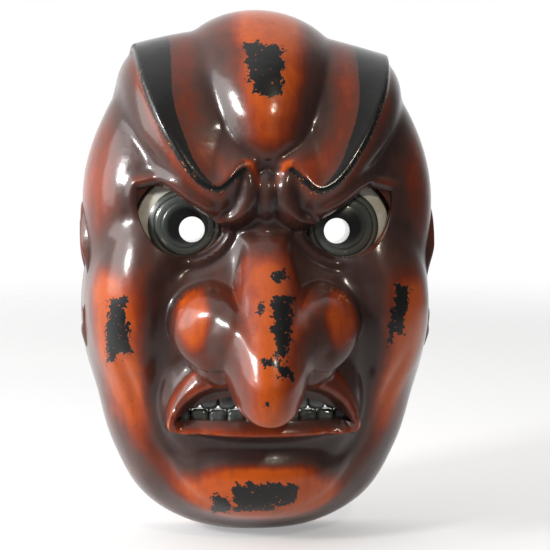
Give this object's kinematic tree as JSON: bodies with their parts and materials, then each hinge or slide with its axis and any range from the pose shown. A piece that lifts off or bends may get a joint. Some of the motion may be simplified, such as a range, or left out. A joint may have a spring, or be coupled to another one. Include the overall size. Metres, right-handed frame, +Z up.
{
  "type": "noh mask",
  "caption": "Carved and lacquered theatre mask with hooked brows, pierced bulging eyes, a long hanging nose, clenched teeth and a hollow back.",
  "frame": {"origin": "centre of the flat back rim's plane, level with the middle of the nose bridge", "axes": "+Z up towards the crown; the face looks along -Y; +X towards the wearer's left"},
  "size_m": [0.148, 0.0898, 0.2139],
  "materials": {
    "red_lacquer": "glossy vermilion and brown lacquer over carved wood",
    "white_lacquer": "glossy off-white lacquer over wood",
    "black_lacquer": "glossy black lacquer over wood",
    "tooth_lacquer": "glossy grey-black lacquer over wood"
  },
  "bodies": {
    "root": {"mask_shell": "red_lacquer", "left_ear": "red_lacquer", "right_ear": "red_lacquer", "left_eyeball": "white_lacquer", "right_eyeball": "white_lacquer", "left_iris": "black_lacquer", "right_iris": "black_lacquer", "upper_teeth": "tooth_lacquer", "lower_teeth": "tooth_lacquer"}
  },
  "joints": []
}
